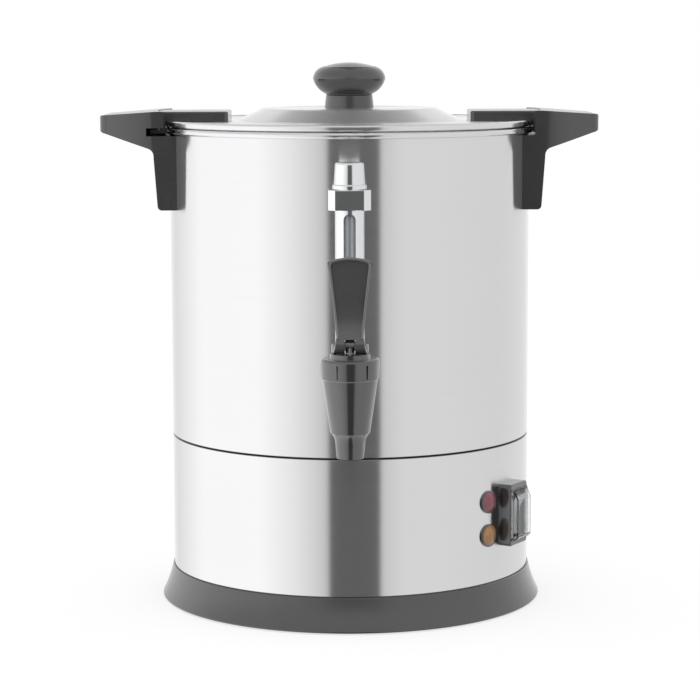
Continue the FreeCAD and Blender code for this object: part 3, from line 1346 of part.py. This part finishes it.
def main():
    os.makedirs("parts", exist_ok=True)
    save("base_ring", base_ring().cut([ring(SCREW_R, 0, FLANGE_Z, FLANGE_Z + BASE_FLANGE_T, p.x, p.y)
                                       for p in screw_places()]))
    save("bottom_cover", bottom_cover())
    save("rubber_feet", rubber_feet())
    save("bottom_screws", bottom_screws())
    save("lower_housing", lower_housing())
    save("reservoir", reservoir())
    lid_shell = lid()
    save("lid", lid_shell)
    wing = lid_lock(lid_shell)
    save("lid_lock_right", wing)
    save("lid_lock_left", swung(wing, 180))
    save("lid_rivets", lid_rivets())
    save("knob_collar", knob_collar())
    save("lid_knob", knob())
    save("knob_screw", knob_screw())
    grip = handle()
    save("handle_right", grip)
    save("handle_left", swung(grip, 180))
    save("handle_brackets", [handle_bracket(), swung(handle_bracket(), 180)])
    screws = handle_screws()
    save("handle_screws", screws + [swung(s, 180) for s in screws])
    save("tap_body", tap_body())
    save("tap_bonnet", tap_bonnet())
    save("tap_stem", tap_stem())
    save("tap_seat_cup", tap_seat_cup())
    save("tap_spring", tap_spring())
    save("tap_lever", tap_lever())
    save("lever_pin", lever_pin())
    save("tap_washers", tap_washers())
    save("tap_nut", tap_nut())
    save("gauge_tee", gauge_tee())
    save("gauge_lower_seal", gauge_lower_seal())
    save("gauge_glass", gauge_glass())
    save("gauge_shield", gauge_shield())
    save("gauge_block", gauge_block())
    save("gauge_nut", gauge_nut())
    save("gauge_cap", gauge_cap())
    save("gauge_cap_seal", gauge_cap_seal())
    save("switch_bezel", switch_bezel())
    save("switch_body", switch_body())
    save("switch_rocker", switch_rocker())
    save("switch_splash_cover", switch_splash_cover())
    save("heating_lamp_lens", lamp_lens(LAMP_UPPER_UP))
    save("keep_warm_lamp_lens", lamp_lens(LAMP_LOWER_UP))
    save("lamp_bezels", [lamp_bezel(LAMP_UPPER_UP), lamp_bezel(LAMP_LOWER_UP)])
    save("lamp_bodies", [lamp_body(LAMP_UPPER_UP), lamp_body(LAMP_LOWER_UP)])
    save("cable_gland", cable_gland())
    save("gland_nut", gland_nut())
    save("heat_plate", heat_plate())
    (brew, warm) = element_layout()
    save("brew_element", element(*brew))
    save("keep_warm_element", element(*warm))
    save("clamp_plate", clamp_plate())
    save("clamp_studs", stud_shanks())
    save("clamp_nuts", clamp_nuts())
    save("brew_thermostat", thermostat(180.0))
    save("keep_warm_thermostat", thermostat(300.0))
    save("thermal_cutout", thermostat(60.0))
    save("terminal_block", terminal_block())
    save("wiring", wiring())
    save("pump_tube", pump_tube())
    save("pump_foot", pump_foot())
    save("brew_basket", brew_basket())
    save("basket_cover", basket_cover())
    print(f"rim {BEAD_TOP:.1f}, lid top {LID_TOP:.1f}, knob top {LID_TOP + COLLAR_H + KNOB_H:.1f}")


main()
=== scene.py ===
import json
import math

import bmesh
import bpy
from mathutils import Matrix, Vector
from mathutils.bvhtree import BVHTree


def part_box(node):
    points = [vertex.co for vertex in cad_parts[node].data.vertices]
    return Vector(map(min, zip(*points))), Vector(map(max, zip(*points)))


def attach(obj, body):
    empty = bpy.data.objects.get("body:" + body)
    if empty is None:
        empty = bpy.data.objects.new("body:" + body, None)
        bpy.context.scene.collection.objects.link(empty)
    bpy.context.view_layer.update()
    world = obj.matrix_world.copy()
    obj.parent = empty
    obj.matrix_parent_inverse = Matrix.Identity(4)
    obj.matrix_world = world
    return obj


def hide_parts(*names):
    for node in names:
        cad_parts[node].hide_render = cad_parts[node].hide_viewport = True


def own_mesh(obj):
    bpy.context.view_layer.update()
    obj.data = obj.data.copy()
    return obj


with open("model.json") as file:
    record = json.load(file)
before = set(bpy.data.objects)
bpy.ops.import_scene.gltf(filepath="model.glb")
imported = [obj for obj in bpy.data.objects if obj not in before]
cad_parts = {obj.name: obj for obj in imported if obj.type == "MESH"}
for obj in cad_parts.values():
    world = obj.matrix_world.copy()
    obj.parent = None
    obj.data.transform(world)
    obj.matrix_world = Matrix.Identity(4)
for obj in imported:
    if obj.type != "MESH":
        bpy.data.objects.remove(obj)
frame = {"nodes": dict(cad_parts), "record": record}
bpy.context.view_layer.update()
BODY_OF = {n: b for b, nodes in frame["record"]["behaviour"]["bodies"].items() for n in nodes}
SLOT_OF = {s["node"]: s["material_slot"] for s in frame["record"]["subparts"]}
MM = 0.001
SEAM_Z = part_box("lower_housing")[1][2]


# Building nodes

def add_node(tree, kind, inputs=(), **settings):
    """A shader node with its settings, each input linked to a socket or set to a value."""
    made = tree.nodes.new("ShaderNode" + kind)
    for key, value in settings.items():
        setattr(made, key, value)
    for key, value in dict(inputs).items():
        if isinstance(value, bpy.types.NodeSocket):
            tree.links.new(value, made.inputs[key])
        else:
            made.inputs[key].default_value = value
    return made


def spread(tree, value, low, high, from_low, from_high):
    """A value moved from one range to another, and held at its ends."""
    made = add_node(tree, "MapRange", {"Value": value, "From Min": from_low, "From Max": from_high,
                                       "To Min": low, "To Max": high})
    return made.outputs["Result"]


def maths(tree, operation, first, second=0.0):
    return add_node(tree, "Math", {0: first, 1: second}, operation=operation).outputs["Value"]


def mixed(tree, factor, first, second):
    """One colour changing to another with a factor; each is a socket or three numbers."""
    ends = [c if isinstance(c, bpy.types.NodeSocket) else (*c, 1.0) for c in (first, second)]
    return add_node(tree, "Mix", {0: factor, 6: ends[0], 7: ends[1]}, data_type="RGBA").outputs[2]


def seen_directly(tree):
    """1 for what the camera sees, straight or through glass, and 0 for light and reflections."""
    rays = add_node(tree, "LightPath").outputs
    return maths(tree, "MAXIMUM", rays["Is Camera Ray"], rays["Is Transmission Ray"])


# Materials

class Shader:
    """A material being built: its nodes, its links and its Principled shader."""

    def __init__(self, name, **sockets):
        self.material = bpy.data.materials.new(name)
        self.material.use_nodes = True
        self.tree = self.material.node_tree
        self.surface = self.tree.nodes["Principled BSDF"]
        for socket, value in sockets.items():
            self.surface.inputs[socket.replace("_", " ")].default_value = value
        self.place = self.node("TexCoord").outputs["Object"]

    def node(self, kind, inputs=(), **settings):
        return add_node(self.tree, kind, inputs, **settings)

    def along(self, axis):
        return self.node("SeparateXYZ", {"Vector": self.place}).outputs[axis]

    def noise(self, vector, scale=1.0, detail=2.0, roughness=0.5):
        made = self.node("TexNoise", {"Vector": vector, "Scale": scale, "Detail": detail,
                                      "Roughness": roughness})
        return made.outputs["Fac"]

    def spread(self, value, low, high, from_low=0.3, from_high=0.7):
        return spread(self.tree, value, low, high, from_low, from_high)

    def mix(self, factor, first, second):
        return mixed(self.tree, factor, first, second)

    def colour(self, value):
        self.tree.links.new(value, self.surface.inputs["Base Color"])

    def rough(self, value):
        self.tree.links.new(value, self.surface.inputs["Roughness"])

    def bump(self, height, strength, distance):
        made = self.node("Bump", {"Height": height, "Strength": strength, "Distance": distance})
        self.tree.links.new(made.outputs["Normal"], self.surface.inputs["Normal"])


def shade(tint, amount):
    """A colour made darker or lighter, no lighter than white."""
    return [min(c * amount, 1.0) for c in tint]


def round_streaks(shader, across, along=9.0):
    """Noise drawn out round the urn's axis: streaks on a wall, rings on a lid."""
    parts = shader.node("SeparateXYZ", {"Vector": shader.place})
    x, y, z = (parts.outputs[axis] for axis in "XYZ")
    flat = shader.node("CombineXYZ", {"X": x, "Y": y})
    radius = shader.node("VectorMath", {0: flat.outputs["Vector"]}, operation="LENGTH").outputs["Value"]
    climb = maths(shader.tree, "ADD", radius, z)
    tall = maths(shader.tree, "MULTIPLY", climb, across / along)
    place = shader.node("CombineXYZ", {"X": x, "Y": y, "Z": tall}).outputs["Vector"]
    return shader.noise(place, scale=along, detail=4.0, roughness=0.7)


# Painted shade in the fold of the body's seam: near black within the first half-width of the seam's
# height, gone by the second.
SEAM_SHADE_HALF = (0.5 * MM, 0.9 * MM)
SEAM_PAINTED_SHADE = (0.07, 0.07, 0.07)


def brushed_steel(name, tint, rough, seam=None):
    """Steel brushed round the urn's axis, with painted shade in the fold of the seam where a seam
    height is given.
    """
    shader = Shader(name, Metallic=1.0, Anisotropic=0.95, Anisotropic_Rotation=0.25)
    tangent = shader.node("Tangent", direction_type="RADIAL", axis="Z")
    shader.tree.links.new(tangent.outputs["Tangent"], shader.surface.inputs["Tangent"])
    fine = round_streaks(shader, 2600.0)
    broad = round_streaks(shader, 420.0, 5.0)
    cloud = shader.noise(shader.place, scale=14.0, detail=3.0)
    brushed = shader.mix(shader.spread(fine, 0.0, 1.0), shade(tint, 0.985), shade(tint, 1.01))
    whole = shader.mix(shader.spread(cloud, 0.0, 0.25), brushed, shade(tint, 0.95))
    # Painted shade: the steel turns near black in a thin band at the seam's height.
    if seam is not None:
        off = maths(shader.tree, "ABSOLUTE", maths(shader.tree, "SUBTRACT", shader.along("Z"), seam))
        whole = shader.mix(shader.spread(off, 1.0, 0.0, *SEAM_SHADE_HALF), whole, SEAM_PAINTED_SHADE)
    shader.colour(whole)
    shader.rough(shader.spread(broad, rough - 0.01, rough + 0.01))
    shader.bump(fine, 0.06, 0.1 * MM)
    return shader.material


def bright_metal(name, tint, rough, mottle=0.0, size=260.0):
    """Plated, polished or mill-finish metal, with faint marks and, where asked, a mottled coat."""
    shader = Shader(name, Metallic=1.0)
    marks = shader.noise(shader.place, scale=size, detail=4.0, roughness=0.6)
    cells = shader.node("TexVoronoi", {"Vector": shader.place, "Scale": size * 1.6}).outputs["Color"]
    grey = shader.node("RGBToBW", {"Color": cells}).outputs["Val"]
    plain = shader.mix(shader.spread(marks, 0.0, 1.0), shade(tint, 0.96), tint)
    shader.colour(shader.mix(shader.spread(grey, 0.0, mottle, 0.0, 1.0), plain, shade(tint, 0.72)))
    shader.rough(shader.spread(marks, rough * 0.8, rough * 1.25))
    shader.bump(marks, 0.04, 0.1 * MM)
    return shader.material


def moulded(name, tint, rough, grain, depth, wear=1.25, **sockets):
    """Moulded plastic or rubber: fine tool grain, slow changes in sheen, and faint dust."""
    shader = Shader(name, **sockets)
    texture = shader.noise(shader.place, scale=grain, detail=2.0, roughness=0.5)
    slow = shader.noise(shader.place, scale=22.0, detail=3.0, roughness=0.6)
    shader.colour(shader.mix(shader.spread(slow, 0.0, 1.0), tint, shade(tint, wear)))
    shader.rough(shader.spread(slow, rough * 0.9, rough * 1.12))
    shader.bump(texture, depth, 0.1 * MM)
    return shader.material


def clear(name, tint, rough, ior, ripple):
    """Clear plastic, with a slight ripple and faint smears."""
    shader = Shader(name, Transmission_Weight=1.0, IOR=ior)
    smear = shader.noise(shader.place, scale=90.0, detail=3.0)
    shader.colour(shader.mix(shader.spread(smear, 0.0, 1.0), tint, shade(tint, 1.04)))
    shader.rough(shader.spread(smear, rough * 0.6, rough * 1.4))
    shader.bump(smear, ripple, 0.3 * MM)
    return shader.material


STRIPE_HALF = (0.6 * MM, 1.1 * MM)


def sight_tube(name, tint, stripe):
    """Milky tube glass with a thin coloured line down its middle."""
    shader = Shader(name, Transmission_Weight=0.1, IOR=1.40)
    off = maths(shader.tree, "ABSOLUTE", shader.along("X"))
    tall = shader.node("Mapping", {"Vector": shader.place, "Scale": (1.0, 1.0, 0.1)}).outputs["Vector"]
    smear = shader.noise(tall, scale=160.0, detail=3.0)
    milky = shader.mix(shader.spread(smear, 0.0, 1.0), tint, shade(tint, 0.93))
    shader.colour(shader.mix(shader.spread(off, 1.0, 0.0, *STRIPE_HALF), milky, stripe))
    shader.rough(shader.spread(smear, 0.04, 0.10))
    shader.bump(smear, 0.05, 0.3 * MM)
    return shader.material


def lamp_lens(name, tint, deep):
    """A pebbled, coloured indicator lens over an unlit lamp."""
    shader = Shader(name, IOR=1.5, Transmission_Weight=0.25, Coat_Weight=0.6, Coat_Roughness=0.08)
    pebbles = shader.node("TexVoronoi", {"Vector": shader.place, "Scale": 620.0}).outputs["Distance"]
    slow = shader.noise(shader.place, scale=160.0, detail=2.0)
    shader.colour(shader.mix(shader.spread(slow, 0.0, 1.0), deep, tint))
    shader.rough(shader.spread(slow, 0.16, 0.3))
    shader.bump(pebbles, 0.35, 0.4 * MM)
    return shader.material


def leads(name):
    """Insulated leads, some brown and some blue."""
    shader = Shader(name)
    bands = shader.noise(shader.place, scale=18.0, detail=0.0)
    blue = shader.spread(bands, 0.0, 1.0, 0.49, 0.51)
    shader.colour(shader.mix(blue, (0.16, 0.07, 0.03), (0.03, 0.08, 0.28)))
    shader.rough(shader.spread(bands, 0.38, 0.5))
    shader.bump(shader.noise(shader.place, scale=900.0), 0.1, 0.1 * MM)
    return shader.material


MATERIALS = {
    # The body's steel carries painted shade at its seam.
    "steel_body": brushed_steel("body_steel_seam_shade", (0.79, 0.79, 0.80), 0.18, seam=SEAM_Z),
    "steel_lid": brushed_steel("lid_steel", (0.80, 0.80, 0.81), 0.20),
    "chrome": bright_metal("chrome_plate", (0.86, 0.87, 0.88), 0.10),
    "zinc_steel": bright_metal("zinc_plate", (0.68, 0.69, 0.70), 0.34, mottle=0.8),
    "aluminium": bright_metal("cast_aluminium", (0.80, 0.80, 0.81), 0.42, mottle=0.25, size=700.0),
    "black_satin": moulded("satin_black", (0.046, 0.046, 0.047), 0.27, 1400.0, 0.12, IOR=1.70,
                           Coat_Weight=0.6, Coat_Roughness=0.14),
    "black_gloss": moulded("gloss_black", (0.026, 0.026, 0.027), 0.17, 500.0, 0.03, IOR=1.85,
                           Coat_Weight=1.0, Coat_Roughness=0.05),
    "rubber": moulded("black_rubber", (0.035, 0.035, 0.036), 0.72, 900.0, 0.25),
    "silicone": moulded("milky_silicone", (0.70, 0.70, 0.67), 0.42, 500.0, 0.1, wear=1.08,
                        Subsurface_Weight=0.15, Subsurface_Radius=(0.004, 0.004, 0.003),
                        Subsurface_Scale=1.0),
    "glass": sight_tube("sight_glass", (0.88, 0.90, 0.92), (0.45, 0.51, 0.58)),
    "clear_plastic": clear("clear_cover", (0.93, 0.94, 0.95), 0.10, 1.42, 0.25),
    "red_lens": lamp_lens("red_indicator", (0.50, 0.13, 0.19), (0.34, 0.07, 0.11)),
    "amber_lens": lamp_lens("amber_indicator", (0.74, 0.36, 0.12), (0.50, 0.21, 0.07)),
    "white_plastic": moulded("white_moulding", (0.78, 0.77, 0.73), 0.38, 800.0, 0.08, wear=1.05),
    "wire": leads("insulated_leads"),
}
# A lighter copy of the black plastic for the lever: painted sheen.
LEVER_BLACK_PAINTED_SHEEN = moulded("lever_black_painted_sheen", (0.085, 0.085, 0.086), 0.30, 900.0, 0.05, IOR=1.6,
                      Coat_Weight=0.6, Coat_Roughness=0.12)
# A lighter copy of the black plastic for the lever's rim: painted highlight.
LEVER_RIM_PAINTED_HIGHLIGHT = moulded("lever_rim_painted_highlight", (0.13, 0.13, 0.132), 0.22, 900.0, 0.04, IOR=1.8, Coat_Weight=1.0)

for name, part in frame["nodes"].items():
    for holder in part.material_slots:
        holder.material = MATERIALS[SLOT_OF[name]]


# Pieces that replace a node or are added to one

def placed(name, data, node, material):
    """A new piece that moves with a node's body and takes the material given."""
    piece = bpy.data.objects.new(name, data)
    bpy.context.scene.collection.objects.link(piece)
    data.materials.clear()
    data.materials.append(material)
    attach(piece, BODY_OF[node])
    return piece


# Width in millimetres of the rounding on each sharp-edged node.
ROUNDED = {"handle_right": 1.2, "handle_left": 1.2, "lid_lock_right": 0.5, "lid_lock_left": 0.5,
           "tap_lever": 0.4, "gauge_block": 0.3, "switch_rocker": 0.3}
# The lever takes the lighter black, which carries painted sheen.
OWN_MATERIAL = {"tap_lever": LEVER_BLACK_PAINTED_SHEEN}
SHARP_ANGLE = math.radians(32.0)
FLAT_ANGLE = math.radians(0.4)
WELD = 2e-6
SHORTEST_EDGE = 1e-6


def rounded_copy(node, width):
    """A node's own shape with its sharp edges rounded, in place of the node."""
    work = bmesh.new()
    work.from_mesh(frame["nodes"][node].data)
    bmesh.ops.remove_doubles(work, verts=work.verts, dist=WELD)
    bmesh.ops.dissolve_degenerate(work, edges=work.edges, dist=SHORTEST_EDGE)
    bmesh.ops.dissolve_limit(work, angle_limit=FLAT_ANGLE, verts=work.verts, edges=work.edges)
    mesh = bpy.data.meshes.new(node + "_rounded")
    work.to_mesh(mesh)
    work.free()
    for face in mesh.polygons:
        face.use_smooth = True
    piece = placed(node + "_rounded", mesh, node, OWN_MATERIAL.get(node, MATERIALS[SLOT_OF[node]]))
    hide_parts(node)
    edge = piece.modifiers.new("edges", "BEVEL")
    edge.width = width * MM
    edge.segments = 3
    edge.limit_method = "ANGLE"
    edge.angle_limit = SHARP_ANGLE
    piece.modifiers.new("normals", "WEIGHTED_NORMAL").keep_sharp = False


def tap_spring_coil():
    """The tap's return spring, which shortens towards the bonnet as the stem rises; here a copy of its
    node that moves with its body and keeps its length.
    """
    coil = placed("tap_spring_coil", frame["nodes"]["tap_spring"].data.copy(), "tap_spring",
                  MATERIALS[SLOT_OF["tap_spring"]])
    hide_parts("tap_spring")
    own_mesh(coil)


BEAD_R = 0.75 * MM
BEAD_FOOT_UP = 8.5 * MM
BEAD_CORNER_DOWN = 4.6 * MM
BEAD_CORNER_IN = 0.6 * MM
BEAD_SUNK = 0.1 * MM
BEAD_SIDE_STEPS = 18
BEAD_TOP_HALF_STEPS = 4
LEVER_WIDEST = 13.0 * MM
LEVER_NARROWEST = 3.0 * MM
SEARCH_STEP = 0.1 * MM
IN_FRONT_Y = -0.3


def lever_bead():
    """The rounded rim that runs up one edge of the lever's front, over its top and down the other."""
    mesh = frame["nodes"]["tap_lever"].data
    tree = BVHTree.FromPolygons([v.co for v in mesh.vertices], [p.vertices for p in mesh.polygons])

    def front(x, z):
        """Where a line from the front meets the lever, or None."""
        return tree.ray_cast(Vector((x, IN_FRONT_Y, z)), Vector((0.0, 1.0, 0.0)))[0]

    low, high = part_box("tap_lever")
    foot = low[2] + BEAD_FOOT_UP
    corner = high[2] - BEAD_CORNER_DOWN
    side = []
    for step in range(BEAD_SIDE_STEPS + 1):
        z = foot + (corner - foot) * step / BEAD_SIDE_STEPS
        x = LEVER_WIDEST
        while x > LEVER_NARROWEST and front(x, z) is None:
            x -= SEARCH_STEP
        side.append((x - BEAD_R, z))
    over = []
    for step in range(2 * BEAD_TOP_HALF_STEPS + 1):
        x = (side[-1][0] - BEAD_CORNER_IN) * (1.0 - step / BEAD_TOP_HALF_STEPS)
        z = high[2]
        while front(x, z) is None:
            z -= SEARCH_STEP
        over.append((x, z - BEAD_R))
    line = side + over + [(-x, z) for x, z in reversed(side)]
    curve = bpy.data.curves.new("tap_lever_bead", "CURVE")
    curve.dimensions = "3D"
    curve.bevel_depth = BEAD_R
    curve.bevel_resolution = 5
    curve.use_fill_caps = True
    spline = curve.splines.new("NURBS")
    spline.points.add(len(line) - 1)
    for point, (x, z) in zip(spline.points, line):
        point.co = (x, front(x, z).y + BEAD_SUNK, z, 1.0)
    spline.order_u = 3
    spline.use_endpoint_u = True
    # The rim takes the lighter black, which carries a painted highlight.
    placed("tap_lever_bead", curve, "tap_lever", LEVER_RIM_PAINTED_HIGHLIGHT)


# Floor, surroundings and camera

FLOOR_R = 2.0
FLOOR_DOWN = 0.2 * MM
FLOOR_COLOUR = (0.5, 0.5, 0.5, 1.0)
FLOOR_GLOW = 0.66


def white_stage():
    """A pale floor that keeps the urn's shadow and fades into the white background."""
    mesh = bpy.data.meshes.new("floor")
    work = bmesh.new()
    bmesh.ops.create_circle(work, cap_ends=True, segments=96, radius=FLOOR_R)
    work.to_mesh(mesh)
    work.free()
    floor = bpy.data.objects.new("floor", mesh)
    floor.location.z = -FLOOR_DOWN
    bpy.context.scene.collection.objects.link(floor)
    material = bpy.data.materials.new("floor_white")
    material.use_nodes = True
    tree = material.node_tree
    tree.nodes.remove(tree.nodes["Principled BSDF"])
    diffuse = add_node(tree, "BsdfDiffuse", {"Color": FLOOR_COLOUR})
    lit = maths(tree, "MULTIPLY", seen_directly(tree), FLOOR_GLOW)
    glow = add_node(tree, "Emission", {"Strength": lit})
    both = add_node(tree, "AddShader", {0: diffuse.outputs["BSDF"], 1: glow.outputs["Emission"]})
    tree.links.new(both.outputs["Shader"], tree.nodes["Material Output"].inputs["Surface"])
    mesh.materials.append(material)
    floor.visible_glossy = False


# Brightness of the studio by direction, in degrees from the front, to the right.
# The front has a dark gap.
STUDIO = [(-180, 1.0), (-150, 0.85), (-110, 1.20), (-60, 1.22), (-38, 1.02), (-22, 0.80), (-14.4, 0.64),
          (-12.8, 0.12), (18.4, 0.12), (19.9, 0.70), (34, 0.84), (60, 0.84), (110, 0.80), (150, 0.85),
          (180, 1.0)]
# Colours are divided by this strength, to stay below 1.
STUDIO_STRENGTH = 2.0
# Ranges of a direction's height, from 0 level to 1 straight up: over the first the light becomes
# even all round, and over the second the overhead part begins.
EVEN_ABOVE = (0.15, 0.42)
EVEN_LIGHT = 0.86
OVERHEAD = (0.54, 0.60)
OVERHEAD_LOSS = 0.12
# The soft edge of the panel, as a slope to either side of straight behind.
PANEL_EDGE = (0.30, 0.36)
PANEL_LOSS = 0.66


def studio_grey(light):
    """A brightness as a colour that the studio's strength multiplies."""
    return [light / STUDIO_STRENGTH] * 3


def studio_strength(tree, x, y, z):
    """The studio's strength: less overhead, and least in a dark panel up behind the object."""
    overhead = spread(tree, z, 0.0, 1.0, *OVERHEAD)
    aside = maths(tree, "DIVIDE", maths(tree, "ABSOLUTE", x), maths(tree, "MAXIMUM", y, MM))
    panel = maths(tree, "MULTIPLY", overhead, spread(tree, aside, 1.0, 0.0, *PANEL_EDGE))
    dimmed = maths(tree, "SUBTRACT", 1.0, maths(tree, "MULTIPLY", overhead, OVERHEAD_LOSS))
    left = maths(tree, "SUBTRACT", dimmed, maths(tree, "MULTIPLY", panel, PANEL_LOSS))
    return maths(tree, "MULTIPLY", left, STUDIO_STRENGTH)


def studio():
    """White background, and a studio that is bright all round but for its gap and its panel."""
    world = bpy.data.worlds.new("studio")
    bpy.context.scene.world = world
    world.use_nodes = True
    tree = world.node_tree
    tree.nodes.clear()
    way = add_node(tree, "TexCoord").outputs["Generated"]
    parts = add_node(tree, "SeparateXYZ", {"Vector": way})
    x, y, z = (parts.outputs[axis] for axis in "XYZ")
    turn = maths(tree, "ARCTAN2", x, maths(tree, "MULTIPLY", y, -1.0))
    ramp = add_node(tree, "ValToRGB", {"Fac": spread(tree, turn, 0.0, 1.0, -math.pi, math.pi)})
    stops = ramp.color_ramp.elements
    while len(stops) < len(STUDIO):
        stops.new(0.5)
    for stop, (degrees, light) in zip(stops, STUDIO):
        stop.position = (degrees + 180.0) / 360.0
        stop.color = (*studio_grey(light), 1.0)
    height = spread(tree, z, 0.0, 1.0, *EVEN_ABOVE)
    level = mixed(tree, height, ramp.outputs["Color"], studio_grey(EVEN_LIGHT))
    around = add_node(tree, "Background", {"Color": level, "Strength": studio_strength(tree, x, y, z)})
    white = add_node(tree, "Background", {"Color": (1.0, 1.0, 1.0, 1.0)})
    choice = add_node(tree, "MixShader", {0: seen_directly(tree), 1: around.outputs["Background"],
                                          2: white.outputs["Background"]})
    add_node(tree, "OutputWorld", {"Surface": choice.outputs["Shader"]})


SENSOR_MM = 36.0
LENS_MM = 123.8
CAMERA_SEES = (0.05, 20.0)
CAMERA_AT = (0.0, -1.4829, 0.3424)
CAMERA_DOWN = math.radians(7.322)
CAMERA_ROLL = -0.0031


def camera():
    """The photograph's viewpoint: a little above the knob, looking slightly down."""
    data = bpy.data.cameras.new("camera")
    data.sensor_width = SENSOR_MM
    data.lens = LENS_MM
    data.clip_start, data.clip_end = CAMERA_SEES
    eye = bpy.data.objects.new("camera", data)
    aim = Matrix.Rotation(math.pi / 2 - CAMERA_DOWN, 4, "X") @ Matrix.Rotation(CAMERA_ROLL, 4, "Z")
    eye.matrix_world = Matrix.Translation(CAMERA_AT) @ aim
    bpy.context.scene.collection.objects.link(eye)
    bpy.context.scene.camera = eye


for node, width in ROUNDED.items():
    rounded_copy(node, width)
tap_spring_coil()
lever_bead()
white_stage()
studio()
camera()
bpy.context.scene.view_settings.view_transform = "Standard"

bpy.context.view_layer.update()
